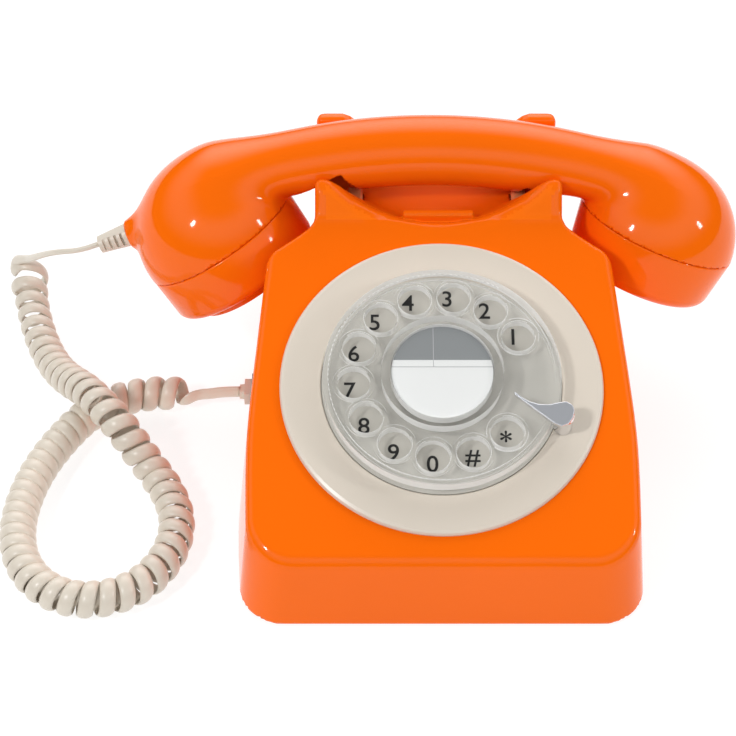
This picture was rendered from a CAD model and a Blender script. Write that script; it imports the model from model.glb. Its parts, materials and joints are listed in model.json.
"""Looks for the rotary telephone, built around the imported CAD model, in the CAD's frame.

The phone's own sizes are in mm, and MM turns them into the scene's metres.
"""

import bmesh
import bpy
import json
import math
import numpy as np
from mathutils import Matrix, Vector


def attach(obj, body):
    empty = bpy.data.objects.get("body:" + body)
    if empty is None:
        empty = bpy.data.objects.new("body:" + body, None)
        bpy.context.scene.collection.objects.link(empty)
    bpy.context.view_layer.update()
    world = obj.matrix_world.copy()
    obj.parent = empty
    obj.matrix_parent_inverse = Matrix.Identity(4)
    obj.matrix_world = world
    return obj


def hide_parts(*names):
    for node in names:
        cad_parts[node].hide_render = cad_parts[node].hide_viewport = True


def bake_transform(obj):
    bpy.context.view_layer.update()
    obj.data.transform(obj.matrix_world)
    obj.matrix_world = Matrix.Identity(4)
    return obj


MM = 0.001
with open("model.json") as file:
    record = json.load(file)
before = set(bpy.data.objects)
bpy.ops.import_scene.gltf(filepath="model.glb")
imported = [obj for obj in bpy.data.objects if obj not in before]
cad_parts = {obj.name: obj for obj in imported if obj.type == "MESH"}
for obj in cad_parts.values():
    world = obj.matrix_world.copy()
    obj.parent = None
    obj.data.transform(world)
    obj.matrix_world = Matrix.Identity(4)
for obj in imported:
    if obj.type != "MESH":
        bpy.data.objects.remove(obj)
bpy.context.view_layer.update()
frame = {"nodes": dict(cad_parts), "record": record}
nodes = frame["nodes"]
scene = bpy.context.scene
scene.view_settings.view_transform = "Standard"
scene.view_settings.look = "None"

# ------------------------------------------------------------------------------------
# Camera, floor and lights
# ------------------------------------------------------------------------------------
CAMERA_AT = (-27.84, -604.39, 603.62)
CAMERA_DOWN = 43.12            # degrees below level
LENS = 102.12
# the studio's light by height, as the sine of the angle above level: it rises from the horizon to
# the walls between the first two heights, and falls to the ceiling between the last two
HORIZON_LIGHT, WALL_LIGHT, CEILING_LIGHT = 0.0, 1.22, 0.05
WALLS_FROM, WALLS_TO, CEILING_FROM, CEILING_TO = 0.20, 0.62, 0.70, 0.93
BACK_LIGHT = 2.0               # a bright panel behind the phone, added to the walls
BACK_TOWARDS = (0.05, 0.80, 0.60)
BACK_EDGE = 0.78               # cosine of the angle from its middle at which it fades out
FLOOR_GLOW = 0.80
FLOOR_HALF = 6.0
LIGHTS_AIM = (0, 0, 0.05)


def make_camera():
    data = bpy.data.cameras.new("camera")
    data.lens = LENS
    data.sensor_width = 36
    data.clip_end = 20
    camera = bpy.data.objects.new("camera", data)
    camera.location = Vector(CAMERA_AT) * MM
    camera.rotation_euler = (math.radians(90 - CAMERA_DOWN), 0, 0)
    scene.collection.objects.link(camera)
    scene.camera = camera


def area_light(name, at, wide, tall, power):
    """A rectangular softbox that faces the phone."""
    data = bpy.data.lights.new(name, "AREA")
    data.energy = power
    data.shape = "RECTANGLE"
    data.size = wide
    data.size_y = tall
    light = bpy.data.objects.new(name, data)
    light.location = at
    light.rotation_euler = (Vector(LIGHTS_AIM) - Vector(at)).to_track_quat("-Z", "Y").to_euler()
    scene.collection.objects.link(light)


def new_object(name, vertices, faces, smooth=True, normals=None):
    mesh = bpy.data.meshes.new(name)
    vertices = np.asarray(vertices, float)
    faces = np.asarray(faces)
    if faces.ndim == 2:
        count, width = faces.shape
        mesh.vertices.add(len(vertices))
        mesh.vertices.foreach_set("co", vertices.astype(np.float32).ravel())
        mesh.loops.add(count * width)
        mesh.loops.foreach_set("vertex_index", faces.astype(np.int32).ravel())
        mesh.polygons.add(count)
        mesh.polygons.foreach_set("loop_start", np.arange(0, count * width, width, dtype=np.int32))
        mesh.update(calc_edges=True)
    else:
        mesh.from_pydata(vertices.tolist(), [], faces.tolist())
    mesh.validate()
    mesh.polygons.foreach_set("use_smooth", np.full(len(mesh.polygons), smooth, dtype=bool))
    if normals is not None:
        mesh.normals_split_custom_set_from_vertices(normals.tolist())
    obj = bpy.data.objects.new(name, mesh)
    scene.collection.objects.link(obj)
    return obj


def make_stage():
    corners = [(x * FLOOR_HALF, y * FLOOR_HALF, 0) for x, y in ((-1, -1), (1, -1), (1, 1), (-1, 1))]
    floor = new_object("floor", corners, [(0, 1, 2, 3)], smooth=False)
    paper = simple_material("floor_paper", (0.30, 0.30, 0.30), 0.9, specular=0.1)
    shader = paper.node_tree.nodes["Principled BSDF"]
    shader.inputs["Emission Color"].default_value = (1, 1, 1, 1)
    shader.inputs["Emission Strength"].default_value = FLOOR_GLOW
    floor.data.materials.append(paper)
    make_world()
    area_light("key_left", (-0.75, -0.65, 0.95), 0.085, 0.17, 5.6)
    area_light("fill_right", (0.95, -0.20, 0.55), 0.08, 0.16, 2.0)


def make_world():
    """Studio walls, dark low down, under a dark ceiling that the sloping face mirrors."""
    world = bpy.data.worlds.new("studio")
    world.use_nodes = True
    tree = world.node_tree
    background = tree.nodes["Background"]
    place = tree.nodes.new("ShaderNodeTexCoord")
    split = tree.nodes.new("ShaderNodeSeparateXYZ")
    tree.links.new(place.outputs["Generated"], split.inputs["Vector"])
    fade = tree.nodes.new("ShaderNodeMapRange")
    fade.interpolation_type = "SMOOTHSTEP"
    fade.inputs["From Min"].default_value = CEILING_FROM
    fade.inputs["From Max"].default_value = CEILING_TO
    fade.inputs["To Max"].default_value = CEILING_LIGHT
    tree.links.new(split.outputs["Z"], fade.inputs["Value"])
    rise = tree.nodes.new("ShaderNodeMapRange")
    rise.interpolation_type = "SMOOTHSTEP"
    rise.inputs["From Min"].default_value = WALLS_FROM
    rise.inputs["From Max"].default_value = WALLS_TO
    rise.inputs["To Min"].default_value = HORIZON_LIGHT
    rise.inputs["To Max"].default_value = WALL_LIGHT
    tree.links.new(split.outputs["Z"], rise.inputs["Value"])
    tree.links.new(rise.outputs["Result"], fade.inputs["To Min"])
    behind = tree.nodes.new("ShaderNodeVectorMath")
    behind.operation = "DOT_PRODUCT"
    behind.inputs[1].default_value = BACK_TOWARDS
    tree.links.new(place.outputs["Generated"], behind.inputs[0])
    glow = tree.nodes.new("ShaderNodeMapRange")
    glow.interpolation_type = "SMOOTHSTEP"
    glow.inputs["From Min"].default_value = BACK_EDGE
    glow.inputs["From Max"].default_value = 1.0
    glow.inputs["To Max"].default_value = BACK_LIGHT
    tree.links.new(behind.outputs["Value"], glow.inputs["Value"])
    total = tree.nodes.new("ShaderNodeMath")
    total.operation = "ADD"
    tree.links.new(fade.outputs["Result"], total.inputs[0])
    tree.links.new(glow.outputs["Result"], total.inputs[1])
    tree.links.new(total.outputs["Value"], background.inputs["Strength"])
    background.inputs["Color"].default_value = (1.0, 1.0, 1.0, 1)
    scene.world = world


# ------------------------------------------------------------------------------------
# Materials
# ------------------------------------------------------------------------------------
def simple_material(name, colour, roughness, metallic=0.0, specular=0.5, alpha=1.0):
    material = bpy.data.materials.new(name)
    material.use_nodes = True
    shader = material.node_tree.nodes["Principled BSDF"]
    shader.inputs["Base Color"].default_value = (*colour, 1)
    shader.inputs["Roughness"].default_value = roughness
    shader.inputs["Metallic"].default_value = metallic
    shader.inputs["Specular IOR Level"].default_value = specular
    shader.inputs["Alpha"].default_value = alpha
    return material


def detailed_material(name, colour, roughness, metallic=0.0, specular=0.5, tint=0.04, rough_range=0.05,
                      grain=900.0, bump=0.02, alpha=1.0, stretch=(1, 1, 1)):
    """A moulded or machined surface: slow colour drift, changing roughness and a fine grain."""
    material = simple_material(name, colour, roughness, metallic, specular, alpha)
    tree = material.node_tree
    shader = tree.nodes["Principled BSDF"]
    place = tree.nodes.new("ShaderNodeTexCoord")
    mapping = tree.nodes.new("ShaderNodeMapping")
    mapping.inputs["Scale"].default_value = stretch
    tree.links.new(place.outputs["Object"], mapping.inputs["Vector"])
    drift = tree.nodes.new("ShaderNodeTexNoise")
    drift.inputs["Scale"].default_value = 14.0
    drift.inputs["Detail"].default_value = 3.0
    tree.links.new(mapping.outputs["Vector"], drift.inputs["Vector"])
    ramp = tree.nodes.new("ShaderNodeValToRGB")
    ramp.color_ramp.elements[0].position = 0.3
    ramp.color_ramp.elements[0].color = (*[c * (1 - tint) for c in colour], 1)
    ramp.color_ramp.elements[1].position = 0.7
    ramp.color_ramp.elements[1].color = (*[min(1, c * (1 + tint)) for c in colour], 1)
    tree.links.new(drift.outputs["Fac"], ramp.inputs["Fac"])
    tree.links.new(ramp.outputs["Color"], shader.inputs["Base Color"])
    patches = tree.nodes.new("ShaderNodeTexNoise")
    patches.inputs["Scale"].default_value = 45.0
    patches.inputs["Detail"].default_value = 4.0
    tree.links.new(mapping.outputs["Vector"], patches.inputs["Vector"])
    spread = tree.nodes.new("ShaderNodeMapRange")
    spread.inputs["To Min"].default_value = max(0.02, roughness - rough_range)
    spread.inputs["To Max"].default_value = roughness + rough_range
    tree.links.new(patches.outputs["Fac"], spread.inputs["Value"])
    tree.links.new(spread.outputs["Result"], shader.inputs["Roughness"])
    if bump:
        fine = tree.nodes.new("ShaderNodeTexNoise")
        fine.inputs["Scale"].default_value = grain
        fine.inputs["Detail"].default_value = 2.0
        tree.links.new(mapping.outputs["Vector"], fine.inputs["Vector"])
        raise_node = tree.nodes.new("ShaderNodeBump")
        raise_node.inputs["Strength"].default_value = bump
        raise_node.inputs["Distance"].default_value = 0.0004
        tree.links.new(fine.outputs["Fac"], raise_node.inputs["Height"])
        tree.links.new(raise_node.outputs["Normal"], shader.inputs["Normal"])
    return material


ORANGE = (0.96, 0.150, 0.003)
CREAM = (0.70, 0.635, 0.54)
MATERIALS = {
    "case_plastic": detailed_material("orange_abs", ORANGE, 0.09, specular=0.19, tint=0.02,
                                      rough_range=0.02, grain=500, bump=0.008),
    "handset_plastic": detailed_material("orange_abs_handset", ORANGE, 0.08, specular=0.24,
                                         tint=0.02, rough_range=0.02, grain=500, bump=0.008),
    "cord_plastic": detailed_material("cream_pvc", CREAM, 0.32, tint=0.03, grain=700, bump=0.02),
    "plug_plastic": detailed_material("cream_plug", CREAM, 0.35, tint=0.03, grain=700, bump=0.02),
    "base_plastic": detailed_material("black_base", (0.03, 0.03, 0.032), 0.55, grain=900, bump=0.1),
    "foot_rubber": detailed_material("foot_rubber", (0.02, 0.02, 0.02), 0.8, grain=700, bump=0.15),
    "screw_steel": detailed_material("screw_steel", (0.55, 0.55, 0.56), 0.3, metallic=1.0),
    "bezel_plastic": detailed_material("cream_bezel", (0.70, 0.63, 0.54), 0.30, tint=0.02,
                                       rough_range=0.04, grain=1200, bump=0.012),
    "wheel_acrylic": detailed_material("clear_acrylic", (0.88, 0.89, 0.86), 0.05, specular=1.0,
                                       tint=0.01, rough_range=0.02, bump=0, alpha=0.07),
    "cover_acrylic": detailed_material("clear_cover", (0.97, 0.98, 0.98), 0.04, specular=1.0,
                                       tint=0.01, rough_range=0.01, bump=0, alpha=0.07),
    "holder_plastic": detailed_material("holder_plastic", (0.42, 0.42, 0.40), 0.4),
    "card_paper": detailed_material("card_paper", (0.80, 0.80, 0.81), 0.55, grain=2500, bump=0.04),
    "stop_chrome": detailed_material("brushed_chrome", (0.60, 0.62, 0.66), 0.20, metallic=0.45,
                                     specular=0.8, tint=0.03, rough_range=0.04, bump=0),
    "dial_steel": detailed_material("dial_steel", (0.5, 0.5, 0.5), 0.35, metallic=1.0,
                                    stretch=(1, 8, 1), bump=0.05),
    "gear_brass": detailed_material("gear_brass", (0.60, 0.42, 0.14), 0.3, metallic=1.0),
    "contact_block": detailed_material("contact_block", (0.16, 0.08, 0.035), 0.5),
    "hook_steel": detailed_material("hook_steel", (0.5, 0.5, 0.5), 0.35, metallic=1.0),
    "plunger_plastic": detailed_material("plunger", (0.94, 0.36, 0.15), 0.10, specular=1.0, bump=0),
    "ringer_steel": detailed_material("ringer_steel", (0.45, 0.45, 0.46), 0.4, metallic=1.0),
    "coil_copper": detailed_material("coil_copper", (0.45, 0.17, 0.07), 0.4, metallic=0.6,
                                     stretch=(1, 1, 30), bump=0.3),
    "gong_steel": detailed_material("gong_steel", (0.6, 0.57, 0.5), 0.25, metallic=1.0),
    "board_laminate": detailed_material("board_laminate", (0.015, 0.12, 0.04), 0.4),
    "component_dark": detailed_material("component_dark", (0.02, 0.02, 0.025), 0.4),
    "terminal_plastic": detailed_material("terminal_plastic", (0.60, 0.58, 0.50), 0.45),
    "jack_plastic": detailed_material("jack_plastic", (0.03, 0.03, 0.032), 0.4),
    "slider_plastic": detailed_material("slider_plastic", (0.02, 0.02, 0.022), 0.5),
    "capsule_metal": detailed_material("capsule_metal", (0.55, 0.55, 0.55), 0.35, metallic=1.0),
    "gasket_rubber": detailed_material("gasket_rubber", (0.02, 0.02, 0.02), 0.8),
    "ballast_iron": detailed_material("ballast_iron", (0.08, 0.08, 0.08), 0.6, metallic=0.8,
                                      bump=0.3),
}


def dress(obj, slot):
    """Gives a piece the material of one of the record's slots."""
    obj.data.materials.clear()
    obj.data.materials.append(MATERIALS[slot])


make_camera()
make_stage()
for part in frame["record"]["subparts"]:
    node = nodes[part["node"]]
    for place in range(len(node.material_slots)):
        node.material_slots[place].material = MATERIALS[part["material_slot"]]

SLOPE = math.radians(20.62)
FACE_OUT = np.array([0, -math.sin(SLOPE), math.cos(SLOPE)])


def edge_material(node, material):
    """Gives the faces that stand square to the dial a material of their own."""
    node.data.materials.append(material)
    turned = node.matrix_world.to_3x3()
    for polygon in node.data.polygons:
        if abs(np.dot(turned @ polygon.normal, FACE_OUT)) < 0.7:
            polygon.material_index = len(node.data.materials) - 1


# the cut edges of the clear wheel catch more light than its flat faces
edge_material(nodes["finger_wheel"],
              detailed_material("clear_acrylic_edge", (1.0, 1.0, 0.98), 0.08, specular=1.0,
                                tint=0.02, rough_range=0.03, bump=0, alpha=0.80))
nodes["number_plate"].material_slots[0].material = detailed_material(
    "grey_plate", (0.52, 0.50, 0.45), 0.40, tint=0.02, grain=1200, bump=0.01)

# ------------------------------------------------------------------------------------
# The handset cord: one flat cable, straight at both ends and wound into a coil between
# ------------------------------------------------------------------------------------
TOP_LEAD = [
    (-137.9, 54.5, 56.0),
    (-145.4, 53.6, 53.2),
    (-154.5, 58.0, 49.0),
    (-161.5, 64.0, 43.0),
    (-167.5, 70.5, 36.0),
    (-172.0, 77.5, 29.0),
    (-175.0, 84.5, 22.5),
    (-176.3, 90.3, 17.0),
    (-176.27, 90.7, 12.85),
]
COIL = [
    (-175.5, 86.5, 11.5),
    (-173.51, 75.5, 7.99),
    (-169.6, 60.0, 7.5),
    (-164.4, 45.0, 7.6),
    (-158.0, 30.6, 9.6),
    (-150.4, 17.0, 15.0),
    (-141.6, 4.0, 22.0),
    (-134.0, -7.5, 24.6),
    (-126.6, -16.0, 22.6),
    (-119.6, -22.6, 15.4),
    (-112.2, -30.0, 9.0),
    (-105.6, -40.5, 7.5),
    (-101.2, -54.5, 7.5),
    (-102.6, -70.0, 7.5),
    (-110.0, -84.5, 7.5),
    (-122.5, -93.4, 7.5),
    (-137.5, -95.0, 7.5),
    (-151.0, -88.4, 7.5),
    (-160.0, -75.5, 7.5),
    (-163.4, -59.5, 7.5),
    (-162.4, -42.5, 7.5),
    (-158.4, -26.0, 7.5),
    (-151.6, -10.5, 7.5),
    (-142.4, 4.6, 7.5),
    (-129.6, 14.0, 7.5),
    (-114.5, 17.4, 7.5),
    (-101.0, 16.6, 7.6),
]
BASE_LEAD = [
    (-94.0, 16.19, 7.65),
    (-87.5, 16.8, 8.6),
    (-80.6, 16.8, 8.6),
]
COIL_RADIUS = 5.8              # of the cable's middle, mm
CABLE_WIDE = 6.0
CABLE_OUT = 1.2                # how far the cable bulges outwards from its middle
CABLE_IN = 0.7
# how the coil's pitch changes along it: (share of its length, mm per turn)
PITCH = [(0, 8.4), (0.06, 8.2), (0.12, 7.4), (0.34, 7.2), (0.48, 7.0), (0.58, 6.7), (0.64, 6.0),
         (0.70, 5.7), (0.80, 5.7), (0.90, 6.1), (0.95, 7.4), (1, 8.4)]


def spline_points(name, points):
    """Points read from the NURBS spline through a route's control points, in mm."""
    curve = bpy.data.curves.new(name, "CURVE")
    curve.dimensions = "3D"
    curve.resolution_u = 24
    spline = curve.splines.new("NURBS")
    spline.points.add(len(points) - 1)
    for control, point in zip(spline.points, points):
        control.co = (*point, 1)
    spline.order_u = 3
    spline.use_endpoint_u = True
    holder = bpy.data.objects.new(name, curve)
    scene.collection.objects.link(holder)
    bpy.context.view_layer.update()
    evaluated = holder.evaluated_get(bpy.context.evaluated_depsgraph_get())
    mesh = bpy.data.meshes.new_from_object(evaluated)
    line = np.array([v.co for v in mesh.vertices])
    bpy.data.objects.remove(holder)
    return line


def along(line):
    return np.concatenate([[0], np.cumsum(np.linalg.norm(np.diff(line, axis=0), axis=1))])


def resample(line, spacing):
    reach = along(line)
    count = int(reach[-1] / spacing) + 1
    wanted = np.linspace(0, reach[-1], count)
    return np.stack([np.interp(wanted, reach, line[:, i]) for i in range(3)], 1)


def unit(vectors):
    return vectors / np.linalg.norm(vectors, axis=-1, keepdims=True)


def steady_frames(line, start):
    """A direction square to the line at each point that doesn't twist about it."""
    tangent = unit(np.gradient(line, axis=0))
    side = np.zeros_like(line)
    side[0] = unit(start - tangent[0] * np.dot(start, tangent[0]))
    for i in range(1, len(line)):
        carried = side[i - 1] - tangent[i] * np.dot(side[i - 1], tangent[i])
        side[i] = carried / np.linalg.norm(carried)
    return tangent, side


def ease(value):
    value = np.clip(value, 0, 1)
    return value * value * (3 - 2 * value)


def ribbon(name, line, outward, section, width):
    """Sweeps a flat section along a line; outward is its thick direction, width scales it across."""
    tangent = unit(np.gradient(line, axis=0))
    wide = unit(np.cross(tangent, outward))
    thick = np.cross(wide, tangent)
    wide *= width[:, None]
    rings = line[:, None, :] + wide[:, None, :] * section[None, :, 0:1] \
        + thick[:, None, :] * section[None, :, 1:2]
    count, points = len(line), len(section)
    i = np.arange(count - 1)[:, None] * points
    j = np.arange(points)[None, :]
    k = (j + 1) % points
    quads = np.stack([i + j, i + k, i + points + k, i + points + j], -1).reshape(-1, 4)
    vertices = rings.reshape(-1, 3)
    caps = []
    for ring, flip in ((0, True), (count - 1, False)):
        middle = len(vertices) + len(caps)
        caps.append(line[ring])
        base = ring * points
        for a in range(points):
            b = (a + 1) % points
            face = (base + b, base + a, middle, middle) if flip else (base + a, base + b, middle, middle)
            quads = np.vstack([quads, face])
    vertices = np.vstack([vertices, np.array(caps)])
    faces = [tuple(q[:3]) if q[2] == q[3] else tuple(q) for q in quads.tolist()]
    mesh = bpy.data.meshes.new(name)
    mesh.from_pydata((vertices * MM).tolist(), [], faces)
    mesh.polygons.foreach_set("use_smooth", np.ones(len(mesh.polygons), dtype=bool))
    obj = bpy.data.objects.new(name, mesh)
    scene.collection.objects.link(obj)
    return obj


def make_cord():
    route = spline_points("cord_route", TOP_LEAD + COIL + BASE_LEAD)
    fine = resample(route, 0.25)
    reach = along(fine)
    first = reach[np.argmin(np.linalg.norm(fine - np.array(COIL[0]), axis=1))] - 1
    last = reach[np.argmin(np.linalg.norm(fine - np.array(COIL[-1]), axis=1))]
    share = np.clip((reach - first) / (last - first), 0, 1)
    pitch = np.interp(share, [p[0] for p in PITCH], [p[1] for p in PITCH])
    ramp = ease((reach - first + 22) / 20.0) * ease((last + 6 - reach) / 14.0)
    ramp *= 1 + 0.22 * np.exp(-((reach - first - 2) / 8.0) ** 2)
    rate = ease((reach - first + 8) / 12.0) * ease((last + 3 - reach) / 8.0) / pitch
    turn = np.concatenate([[0], np.cumsum(rate[1:] * np.diff(reach))])
    tangent, side = steady_frames(fine, np.array([0.0, 0.68, 0.73]))
    across = np.cross(tangent, side)

    def angle_towards(index, direction):
        return math.atan2(np.dot(side[index], direction), np.dot(across[index], direction))

    # the cable meets the coil on its left side and leaves it standing on edge
    begin = angle_towards(int(np.argmin(np.abs(reach - first))), (-1, 0, 0))
    finish = angle_towards(-1, (0, -1, 0))
    extra = (finish - begin) / (2 * np.pi)
    turn *= (round(turn[-1] - extra) + extra) / turn[-1]
    lead_in = ease(reach / first)
    twist = turn * 2 * np.pi + np.pi / 2 + (begin - np.pi / 2) * lead_in
    # more points where the cable winds: about one per 1.1 mm of cable
    wire = np.concatenate([[0], np.cumsum(np.hypot(np.diff(reach), np.diff(turn) * 2 * np.pi
                                                   * COIL_RADIUS * ramp[1:]))])
    wanted = np.linspace(0, wire[-1], int(wire[-1] / 1.1))

    def pick(values):
        if values.ndim == 1:
            return np.interp(wanted, wire, values)
        return np.stack([np.interp(wanted, wire, values[:, i]) for i in range(3)], 1)

    angle = pick(twist)
    side_w, across_w = unit(pick(side)), unit(pick(across))
    outward = side_w * np.sin(angle)[:, None] + across_w * np.cos(angle)[:, None]
    centre = pick(fine) + outward * (COIL_RADIUS * pick(ramp))[:, None]
    narrow = pick(0.6 + 0.4 * ease((reach - first + 16) / 14.0))
    half = CABLE_WIDE / 2
    spots = np.linspace(-1, 1, 9)
    outer = [(half * s, CABLE_OUT * (1 - abs(s) ** 2.6) + 0.12) for s in spots]
    inner = [(half * 0.96 * s, -CABLE_IN * (1 - abs(s) ** 6) - 0.12) for s in spots[::-1]]
    section = np.array(outer + inner)
    cord = ribbon("handset_cord", centre, outward, section, narrow)
    dress(cord, "cord_plastic")
    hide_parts("handset_cord_top_lead", "handset_cord_coil", "handset_cord_base_lead")
    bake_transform(cord)


make_cord()

# ------------------------------------------------------------------------------------
# Solids described by distance, in mm, and meshed on a grid
# ------------------------------------------------------------------------------------


def cut_round(a, b, r):
    """Where both a and b are inside, with the edge between them rounded to radius r."""
    u, v = np.maximum(a + r, 0), np.maximum(b + r, 0)
    return np.minimum(-r, np.maximum(a, b)) + np.hypot(u, v)


def join_round(a, b, r):
    return -cut_round(-a, -b, r)


def join_soft(a, b, k):
    h = np.maximum(k - np.abs(a - b), 0) / k
    return np.minimum(a, b) - h * h * h * k / 6


def surface(name, distance, low, high, cell, place=None):
    """Meshes the surface where distance is 0; each vertex is moved onto it exactly."""
    low, high = np.array(low, float), np.array(high, float)
    counts = np.ceil((high - low) / cell).astype(int) + 1
    axes = [low[i] + cell * np.arange(counts[i]) for i in range(3)]
    values = np.empty(counts, np.float32)
    for i in range(0, counts[0], 24):
        x, y, z = np.meshgrid(axes[0][i:i + 24], axes[1], axes[2], indexing="ij")
        values[i:i + 24] = distance(x, y, z)
    inside = values < 0
    total = np.zeros([c - 1 for c in counts], np.uint8)
    for a in (0, 1):
        for b in (0, 1):
            for c in (0, 1):
                total += inside[a:counts[0] - 1 + a, b:counts[1] - 1 + b, c:counts[2] - 1 + c]
    mixed = (total > 0) & (total < 8)
    cells = np.argwhere(mixed)
    index = np.full(mixed.shape, -1, np.int64)
    index[mixed] = np.arange(len(cells))
    points = low + (cells + 0.5) * cell
    # start from the mean of the cell's edge crossings
    sums = np.zeros((len(cells), 3))
    hits = np.zeros(len(cells))
    corners = [(a, b, c) for a in (0, 1) for b in (0, 1) for c in (0, 1)]
    for start in corners:
        for axis in range(3):
            if start[axis]:
                continue
            stop = list(start)
            stop[axis] = 1
            p, q = cells + np.array(start), cells + np.array(stop)
            v0, v1 = values[tuple(p.T)], values[tuple(q.T)]
            crossing = (v0 < 0) != (v1 < 0)
            t = np.where(crossing, v0 / np.where(crossing, v0 - v1, 1), 0)
            spot = p.astype(float)
            spot[:, axis] += t
            sums[crossing] += spot[crossing]
            hits[crossing] += 1
    points = low + sums / hits[:, None] * cell

    def slopes(p):
        step = 0.02
        out = np.empty_like(p)
        for axis in range(3):
            a, b = p.copy(), p.copy()
            a[:, axis] += step
            b[:, axis] -= step
            out[:, axis] = (distance(*a.T) - distance(*b.T)) / (2 * step)
        return out

    limit = points.copy()
    for _ in range(4):
        slope = slopes(points)
        size = np.maximum((slope ** 2).sum(1), 0.2)
        points = points - slope * (distance(*points.T) / size)[:, None]
        points = np.clip(points, limit - 0.8 * cell, limit + 0.8 * cell)
    normals = unit(slopes(points) + 1e-9)
    quads = []
    for axis in range(3):
        u, v = (axis + 1) % 3, (axis + 2) % 3
        head = [slice(None)] * 3
        tail = [slice(None)] * 3
        head[axis], tail[axis] = slice(0, -1), slice(1, None)
        a, b = inside[tuple(head)], inside[tuple(tail)]
        edges = np.argwhere(a != b)
        edges = edges[(edges[:, u] > 0) & (edges[:, v] > 0)
                      & (edges[:, u] < counts[u] - 1) & (edges[:, v] < counts[v] - 1)]
        du, dv = np.zeros(3, int), np.zeros(3, int)
        du[u], dv[v] = 1, 1
        ring = [edges - du - dv, edges - dv, edges, edges - du]
        quad = np.stack([index[tuple(c.T)] for c in ring], 1)
        outward = inside[tuple(edges.T)]
        quads.append(np.where(outward[:, None], quad, quad[:, ::-1]))
    quads = np.vstack(quads)
    if place is not None:
        points, normals = place(points, normals)
    return new_object(name, points * MM, quads, normals=normals)


# ------------------------------------------------------------------------------------
# Case
# ------------------------------------------------------------------------------------
LIP_Y, LIP_Z = -98.0, 32.15
DRAFT = math.tan(math.radians(6))
DIAL_S = 71.7                  # from the lip up the face to the dial's middle
DIAL_AT = np.array([0, LIP_Y + DIAL_S * math.cos(SLOPE), LIP_Z + DIAL_S * math.sin(SLOPE)])
FACE_UP = np.array([0, math.cos(SLOPE), math.sin(SLOPE)])
# half the case's width: it grows from the front edge, then shrinks towards the back
FRONT_HALF, FRONT_Y, FRONT_GROWTH = 75.4, -101.4, 0.0798
MIDDLE_HALF, MIDDLE_Y, BACK_SHRINK = 79.5, -50.0, 0.0576
REAR_Y = 101.0
WALL = 2.8
WELL_FLOOR, WELL_HALF, WELL_FRONT, WELL_REAR = 72.0, 38.5, 36.1, 84.3
NECK_HALF, NECK_FRONT, SHOULDER = 48.8, 36.0, 0.68
SHELF = 20.0                   # height of the ledge under each cup
SADDLE_Y, SADDLE_Z, SADDLE_R = 66.75, 91.8, 17.6
CATCH_AT, CATCH_HALF = (0, 40.3, 78.2), (14.0, 1.6, 6.2)    # the block behind the well's front rim
DIAL_HOLE = 57.0
RIM_Y, RIM_Z = 34.53, 82.02
RIM_SLOPE = math.radians(52)
TROUGH, TROUGH_FALL = 53.6, 0.6
# how far the cradle's rim stands above the face's upper edge: (distance from the middle, rise)
RIM_RISE = [(0, 0.0), (12, 0.6), (24, 2.6), (33.7, 6.2), (38.7, 9.4), (42.6, 12.0), (45, 12.9), (60, 13.0)]
BACK_RISE = [(0, 0.0), (18, 1.5), (27, 5.5), (32, 10.5), (35, 13.6), (38, 15.0), (60, 15.0)]
# openings through the wall: (centre, half size)
CASE_OPENINGS = [
    ((-33, 60, 71), (3.3, 5.3, 9)),          # hook plungers
    ((33, 60, 71), (3.3, 5.3, 9)),
    ((-78, 16.8, 8.6), (9, 6.8, 5.0)),       # handset cord
    ((26, 99, 12), (7.2, 9, 6.2)),           # line socket
    ((-20, 99, 13), (9.0, 9, 3.3)),          # volume slider, with its travel
]


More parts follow.
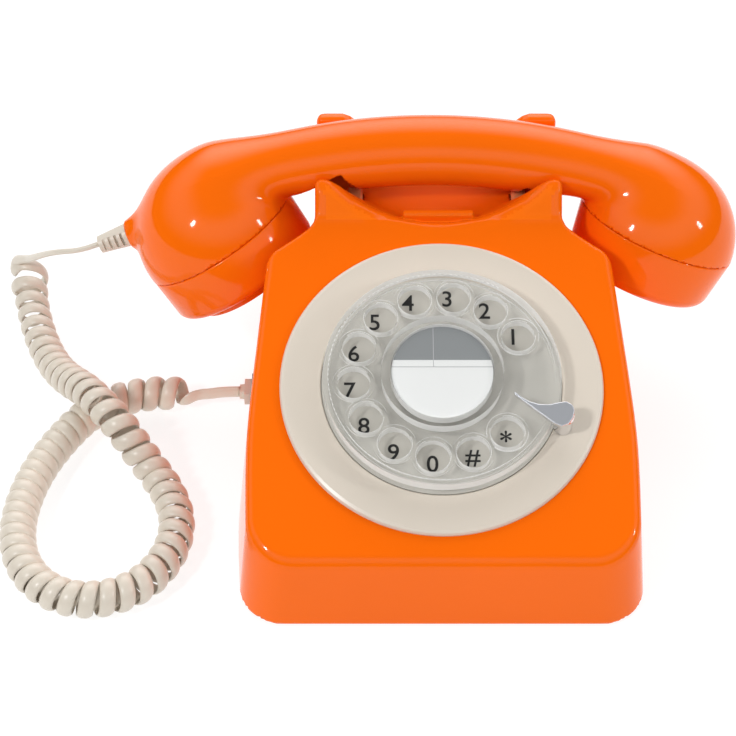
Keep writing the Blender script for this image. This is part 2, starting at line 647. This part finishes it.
def case_outside(x, y, z):
    """The case as a solid block, without its underside."""
    wide = np.abs(x)
    ahead = FRONT_HALF + (y - FRONT_Y) * FRONT_GROWTH
    behind = MIDDLE_HALF - (y - MIDDLE_Y) * BACK_SHRINK
    half = (ahead + behind - np.hypot(ahead - behind, 2.0)) / 2
    side = (wide - half + DRAFT * z) / math.sqrt(1 + DRAFT ** 2)
    ends = np.maximum(FRONT_Y - y, y - REAR_Y) + DRAFT * z
    ends = ends / math.sqrt(1 + DRAFT ** 2)
    plan = cut_round(side, ends, 17.0)
    face = (z - LIP_Z) * math.cos(SLOPE) - (y - LIP_Y) * math.sin(SLOPE)
    # the cradle's walls: a steeper front than the face and a rim that rises to the horns
    rise = np.interp(wide, [p[0] for p in RIM_RISE], [p[1] for p in RIM_RISE])
    front = (z - RIM_Z) * math.cos(RIM_SLOPE) - (y - RIM_Y) * math.sin(RIM_SLOPE)
    back = np.interp(wide, [p[0] for p in BACK_RISE], [p[1] for p in BACK_RISE])
    rim = (z - RIM_Z - np.where(y > 66, back, rise)) * 0.93
    cradle = cut_round(front, rim, 2.6)
    top = join_soft(face + np.maximum(0, y - 36) * 1.0, cradle, 6.0)
    body = cut_round(plan, top, 3.2)
    # the space for each cup
    neck = NECK_HALF - wide
    shoulder = (NECK_FRONT - y - (wide - NECK_HALF) * SHOULDER) / math.hypot(1, SHOULDER)
    space = cut_round(cut_round(neck, shoulder, 2.5), SHELF - z, 2.5)
    body = cut_round(body, -space, 2.6)
    # the saddle that the handle crosses
    saddle = np.hypot(y - SADDLE_Y, z - SADDLE_Z) - SADDLE_R
    above = np.maximum(np.abs(y - SADDLE_Y) - SADDLE_R, SADDLE_Z - z)
    saddle = np.minimum(saddle, above)
    body = cut_round(body, -saddle, 2.0)
    # the well: a trough that runs down from the cradle's front rim to a flat floor
    dip = TROUGH - np.sqrt(np.maximum(TROUGH ** 2 - x ** 2, 1))
    trough = (RIM_Z + dip - TROUGH_FALL * (y - WELL_FRONT) - z) * 0.86
    well = cut_round(cut_round(wide - WELL_HALF, y - WELL_REAR, 6.0),
                     cut_round(trough, WELL_FLOOR - z, 6.0), 1.2)
    return cut_round(body, -well, 1.3)


def box_at(x, y, z, centre, half):
    return np.maximum(np.maximum(np.abs(x - centre[0]) - half[0], np.abs(y - centre[1]) - half[1]),
                      np.abs(z - centre[2]) - half[2])


def case_shell(x, y, z):
    outside = case_outside(x, y, z)
    shell = np.maximum(cut_round(outside, 1.0 - z, 0.5), -(outside + WALL))
    out = (y - DIAL_AT[1]) * FACE_OUT[1] + (z - DIAL_AT[2]) * FACE_OUT[2]
    up = (y - DIAL_AT[1]) * FACE_UP[1] + (z - DIAL_AT[2]) * FACE_UP[2]
    hole = np.maximum(np.hypot(x, up) - DIAL_HOLE, np.abs(out) - 27)
    shell = np.maximum(shell, -hole)
    catch = cut_round(cut_round(np.abs(x) - CATCH_HALF[0], np.abs(y - CATCH_AT[1]) - CATCH_HALF[1], 0.4),
                      np.abs(z - CATCH_AT[2]) - CATCH_HALF[2], 0.6)
    shell = join_round(shell, catch, 0.5)
    for centre, half in CASE_OPENINGS:
        shell = np.maximum(shell, -box_at(x, y, z, centre, half))
    return shell


def make_case():
    case = surface("case_shell", case_shell, (-80, -104, -1), (80, 104, 99), 1.25)
    dress(case, "case_plastic")
    # the cradle's inside is moulded with a duller finish
    case.data.materials.append(detailed_material("orange_abs_dull", (1.0, 0.17, 0.002), 0.5, specular=0.08,
                                                 tint=0.02, grain=500, bump=0.02))
    spots = np.empty(len(case.data.polygons) * 3)
    case.data.polygons.foreach_get("center", spots)
    x, y, z = (spots.reshape(-1, 3) / MM).T
    dull = (np.abs(x) < 45) & (y > 36) & (y < 86) & (z > 70) & (case_outside(x, y, z) > -1.5) \
        & (z < RIM_Z + np.interp(np.abs(x), [p[0] for p in RIM_RISE], [p[1] for p in RIM_RISE]) - 0.8)
    case.data.polygons.foreach_set("material_index", dull.astype(np.int32))
    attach(case, "base")
    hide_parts("upper_case")


# ------------------------------------------------------------------------------------
# Handset
# ------------------------------------------------------------------------------------
HANDLE_AT = np.array([0.5, 67.5, 94.4])
ROLL = math.radians(19)
BEND, CROWN = 246.0, -3.5     # the handle's arch: its radius, and the x of its top
HALF_DEEP, HALF_HIGH, HALF_LONG = 16.0, 13.9, 99.0
THIN, THIN_FROM, THIN_OVER = 2.6, 38, 22.0    # how far the underside rises, and where
DOME_R, MOUTH_LIFT, EAR_LIFT = 33.4, 2.1, -3.15
BOSS_R, BOSS_LONG, BOSS_FLARE = 5.6, 20, math.radians(16)
HANDSET_WALL = 2.7
CUT_REACH = 60.0               # how far from each cup's axis the body is cut off at its seam
MOUTH = (-88.4, -36.6, math.radians(32.6))
EAR = (89.3, -33.6, math.radians(-21.5))
BOSS = (-126.2, -36.1, math.radians(20.6))
LOCAL = np.array([[1, 0, 0], [0, math.cos(ROLL), -math.sin(ROLL)], [0, math.sin(ROLL), math.cos(ROLL)]])


def from_handset(points, normals=None):
    """From the handset's own frame (rows of x, depth, height) to the model's."""
    placed = HANDLE_AT + points @ LOCAL
    return (placed, normals @ LOCAL) if normals is not None else placed


def cup_axis(cup):
    return np.array([-math.sin(cup[2]), 0, math.cos(cup[2])]), np.array([cup[0], 0, cup[1]])


def handset_outside(x, y, z):
    rho = np.hypot(x - CROWN, z + BEND) - BEND
    # the underside runs straighter than the top, so the handle thins towards the cups
    thin = THIN * ease((np.abs(x - CROWN) - THIN_FROM) / THIN_OVER) * (rho < 0)
    high = HALF_HIGH - thin
    k0 = np.hypot(y / HALF_DEEP, rho / high)
    k1 = np.hypot(y / HALF_DEEP ** 2, rho / high ** 2) + 1e-9
    handle = k0 * (k0 - 1) / k1
    handle = cut_round(handle, np.abs(x - CROWN) - HALF_LONG, 12.0)
    body = handle
    for cup, lift in ((MOUTH, MOUTH_LIFT), (EAR, EAR_LIFT)):
        axis, at = cup_axis(cup)
        middle = at + axis * lift
        dome = np.sqrt((x - middle[0]) ** 2 + y ** 2 + (z - middle[2]) ** 2) - DOME_R
        body = join_soft(body, dome, 13.5 + 9.5 * np.clip(rho / 10.0, -1, 1))
    back = (x - BOSS[0]) * math.cos(BOSS[2]) + (z - BOSS[1]) * math.sin(BOSS[2])
    off = np.hypot(y, -(x - BOSS[0]) * math.sin(BOSS[2]) + (z - BOSS[1]) * math.cos(BOSS[2]))
    cone = (off - BOSS_R - back * math.tan(BOSS_FLARE)) * math.cos(BOSS_FLARE)
    boss = cut_round(cone, np.maximum(-back, back - BOSS_LONG), 0.8)
    return join_soft(body, boss, 6.0)


def handset_shell(x, y, z):
    outside = handset_outside(x, y, z)
    shell = np.maximum(outside, -(outside + HANDSET_WALL))
    for cup in (MOUTH, EAR):
        axis, at = cup_axis(cup)
        t = (x - at[0]) * axis[0] + (z - at[2]) * axis[2]
        across = (x - at[0]) * axis[2] - (z - at[2]) * axis[0]
        below = np.maximum(np.hypot(across, y) - CUT_REACH, t)
        shell = cut_round(shell, -below, 0.35)
    return shell


def lathe(name, profile, cup, count=160):
    """Turns a closed profile of (radius, height) about a cup's axis."""
    axis, at = cup_axis(cup)
    right = np.array([axis[2], 0, -axis[0]])
    deep = np.array([0, 1.0, 0])
    turn = np.linspace(0, 2 * np.pi, count, endpoint=False)
    rings = []
    for radius, height in profile:
        ring = at + axis * height + radius * (np.cos(turn)[:, None] * right + np.sin(turn)[:, None] * deep)
        rings.append(ring)
    vertices = np.vstack(rings)
    quads = []
    for i in range(len(profile)):
        j = (i + 1) % len(profile)
        if profile[i][0] < 1e-6 and profile[j][0] < 1e-6:
            continue
        for a in range(count):
            b = (a + 1) % count
            quads.append((i * count + a, i * count + b, j * count + b, j * count + a))
    placed = from_handset(vertices)
    obj = new_object(name, placed * MM, np.array(quads))
    work = bmesh.new()
    work.from_mesh(obj.data)
    bmesh.ops.remove_doubles(work, verts=work.verts, dist=1e-6)
    bmesh.ops.dissolve_degenerate(work, edges=work.edges, dist=1e-7)
    bmesh.ops.recalc_face_normals(work, faces=work.faces)
    work.to_mesh(obj.data)
    work.free()
    obj.data.set_sharp_from_angle(angle=math.radians(28))
    return obj


def arc(centre, radius, first, last, steps=7):
    angles = np.radians(np.linspace(first, last, steps))
    return [(centre[0] + radius * math.cos(a), centre[1] + radius * math.sin(a)) for a in angles]


def make_handset():
    body = surface("handset_shell", handset_shell, (-136, -36, -64), (126, 36, 20), 1.2, from_handset)
    dress(body, "handset_plastic")
    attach(body, "handset")
    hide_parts("handset_body")
    mouth = [(28.0, 4.8), (28.0, -16.4), (23.0, -17.2), (22.2, -20.6), (0, -20.6), (0, -23.2)]
    mouth += arc((23.4, -22.2), 1.0, -90, -10) + [(25.0, -20.4)] + arc((26.0, -20.4), 1.0, 180, 92, 5)
    mouth += arc((28.8, -15.6), 3.9, -88, -4, 10) + [(33.15, -0.7)] + arc((32.6, -0.6), 0.5, 10, 80, 4)
    mouth += [(30.2, -0.1), (30.2, 4.8)]
    cap = lathe("mouthpiece_cap_turned", mouth, MOUTH)
    dress(cap, "handset_plastic")
    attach(cap, "handset")
    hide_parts("mouthpiece_cap")
    ear = [(27.8, 2.9), (27.8, -2.0), (27.2, -15.0), (23.0, -18.8), (0, -18.2), (0, -20.6), (16, -21.6)]
    ear += arc((25.2, -16.1), 5.6, -92, -8, 12) + [(33.1, -0.7)] + arc((32.6, -0.6), 0.5, 10, 80, 4)
    ear += [(29.7, -0.1), (29.7, 2.9)]
    cap = lathe("earpiece_cap_turned", ear, EAR)
    dress(cap, "handset_plastic")
    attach(cap, "handset")
    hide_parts("earpiece_cap")


make_case()
make_handset()

# ------------------------------------------------------------------------------------
# Finger stop
# ------------------------------------------------------------------------------------
# the blade, seen along the dial's axis: a hollowed upper edge, a rounded end and a straight lower
# edge back to the tip, as (right, up)
STOP_OUTLINE = [(26.6, -8.4)] + arc((38.0, -0.2), 13.8, 230.5, 291, 5) + arc((45.1, -16.3), 3.7, 80, 0, 3) \
    + arc((43.0, -17.7), 5.3, -21, -82, 3) + [(40.8, -21.6), (26.6, -9.8)]
STOP_MIDDLE, STOP_HALF = 12.1, 1.1      # height of the blade's middle above the face
POST_AT, POST_R = (45.1, -18.2), 3.6
POST_MIDDLE, POST_HALF = 7.1, 4.9


def finger_stop(right, up, out):
    """A flat blade that widens towards its rounded outer end, on a post from the bezel."""
    blade = np.full(right.shape, 1e9)
    crossings = np.zeros(right.shape, int)
    for (a, b), (c, d) in zip(STOP_OUTLINE, STOP_OUTLINE[1:] + STOP_OUTLINE[:1]):
        share = ((right - a) * (c - a) + (up - b) * (d - b)) / ((c - a) ** 2 + (d - b) ** 2)
        share = np.clip(share, 0, 1)
        blade = np.minimum(blade, np.hypot(right - a - share * (c - a), up - b - share * (d - b)))
        if b != d:
            crossings += ((b > up) != (d > up)) & (right < a + (up - b) / (d - b) * (c - a))
    blade = np.where(crossings % 2 == 1, -blade, blade)
    blade = cut_round(blade, np.abs(out - STOP_MIDDLE) - STOP_HALF, 0.45)
    post = cut_round(np.hypot(right - POST_AT[0], up - POST_AT[1]) - POST_R,
                     np.abs(out - POST_MIDDLE) - POST_HALF, 0.3)
    return join_round(blade, post, 0.8)


def from_dial(points, normals):
    turn = np.stack([np.array([1.0, 0, 0]), FACE_UP, FACE_OUT])
    return DIAL_AT + points @ turn, normals @ turn


def make_finger_stop():
    stop = surface("stop", finger_stop, (25, -25, 1.2), (50.5, -6.5, 14.5), 0.35, place=from_dial)
    dress(stop, "stop_chrome")
    edge_material(stop, detailed_material("polished_chrome", (0.80, 0.80, 0.82), 0.07, metallic=1.0,
                                          tint=0.01, rough_range=0.02, bump=0))
    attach(stop, "base")
    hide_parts("finger_stop")


make_finger_stop()

# ------------------------------------------------------------------------------------
# Printing on the dial
# ------------------------------------------------------------------------------------
DIAL_TURN = Matrix((
    (1, 0, 0),
    (0, FACE_UP[1], FACE_OUT[1]),
    (0, FACE_UP[2], FACE_OUT[2]),
))
INK = simple_material("black_ink", (0.012, 0.012, 0.012), 0.5)
CARD_WHITE = detailed_material("card_white", (0.80, 0.81, 0.80), 0.5, tint=0.02, grain=2500, bump=0.02)
CARD_GREY = simple_material("card_grey", (0.20, 0.215, 0.22), 0.5)
CARD_RULE = simple_material("card_rule", (0.42, 0.42, 0.43), 0.5)


def on_dial(right, up, out):
    place = DIAL_AT + np.array([1.0, 0, 0]) * right + FACE_UP * up + FACE_OUT * out
    return Vector(place) * MM


def numeral(name, text, right, up, tall):
    curve = bpy.data.curves.new(name, "FONT")
    curve.body = text
    curve.size = tall / 0.70 * MM
    curve.align_x = "CENTER"
    curve.align_y = "CENTER"
    curve.extrude = 0.02 * MM
    curve.offset = 0.09 * MM
    curve.resolution_u = 6
    holder = bpy.data.objects.new(name, curve)
    scene.collection.objects.link(holder)
    bpy.context.view_layer.update()
    mesh = bpy.data.meshes.new_from_object(
        holder.evaluated_get(bpy.context.evaluated_depsgraph_get()))
    bpy.data.objects.remove(holder)
    low = np.array([v.co for v in mesh.vertices]).min(0)
    high = np.array([v.co for v in mesh.vertices]).max(0)
    mesh.transform(Matrix.Translation(-Vector((low + high) / 2)))
    grow = tall * MM / (high[1] - low[1])
    mesh.transform(Matrix.Diagonal((grow, grow, 1, 1)))
    obj = bpy.data.objects.new(name, mesh)
    scene.collection.objects.link(obj)
    mesh.materials.clear()
    mesh.materials.append(INK)
    mesh.transform(DIAL_TURN.to_4x4())
    mesh.transform(Matrix.Translation(on_dial(right, up, 2.03)))
    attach(obj, "base")


LABELS = "1234567890#*"
LABEL_FIRST, LABEL_PITCH = 31.5, 26        # degrees
OVAL_ACROSS, OVAL_UP = 33.8, 34.9          # half sizes of the oval that they stand on
OVAL_RIGHT, OVAL_RISE = -1.2, 1.5         # its middle, from the dial's
LABEL_TALL, STAR_TALL = 6.8, 4.9
for place, label in enumerate(LABELS):
    angle = math.radians(LABEL_FIRST + LABEL_PITCH * place)
    words = {"#": "hash", "*": "star"}.get(label, label)
    numeral("number_" + words, label, OVAL_RIGHT + OVAL_ACROSS * math.cos(angle),
            OVAL_RISE + OVAL_UP * math.sin(angle), STAR_TALL if label == "*" else LABEL_TALL)


def card_patch(name, outline, material, out):
    """A flat printed area on the card, as a thin sheet just above it."""
    vertices = [on_dial(u, v, out) for u, v in outline]
    mesh = bpy.data.meshes.new(name)
    mesh.from_pydata(vertices, [], [tuple(range(len(vertices)))])
    mesh.materials.append(material)
    obj = bpy.data.objects.new(name, mesh)
    scene.collection.objects.link(obj)
    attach(obj, "dial")


CARD_R = 19.0
CARD_OUT = 11.9
BAND_FROM = 0.26               # where the grey band starts, as a share of the card's radius
angle = math.degrees(math.asin(BAND_FROM))
card_patch("card_white", arc((0, 0), CARD_R, 0, 355, 72), CARD_WHITE, CARD_OUT + 0.02)
card_patch("card_band", arc((0, 0), CARD_R, angle, 180 - angle, 48), CARD_GREY, CARD_OUT + 0.04)
RULE_LOW, RULE_HIGH = 1.9, 2.2              # the rule across the card
RULE_LEFT, RULE_RIGHT, RULE_TOP = -3.4, -3.15, 18.5
half = math.sqrt(CARD_R ** 2 - RULE_LOW ** 2)
card_patch("card_rule_across", [(-half, RULE_LOW), (half, RULE_LOW), (half, RULE_HIGH), (-half, RULE_HIGH)],
           CARD_RULE, CARD_OUT + 0.06)
card_patch("card_rule_up", [(RULE_LEFT, RULE_HIGH), (RULE_RIGHT, RULE_HIGH), (RULE_RIGHT, RULE_TOP),
                            (RULE_LEFT, RULE_TOP)], CARD_RULE, CARD_OUT + 0.06)
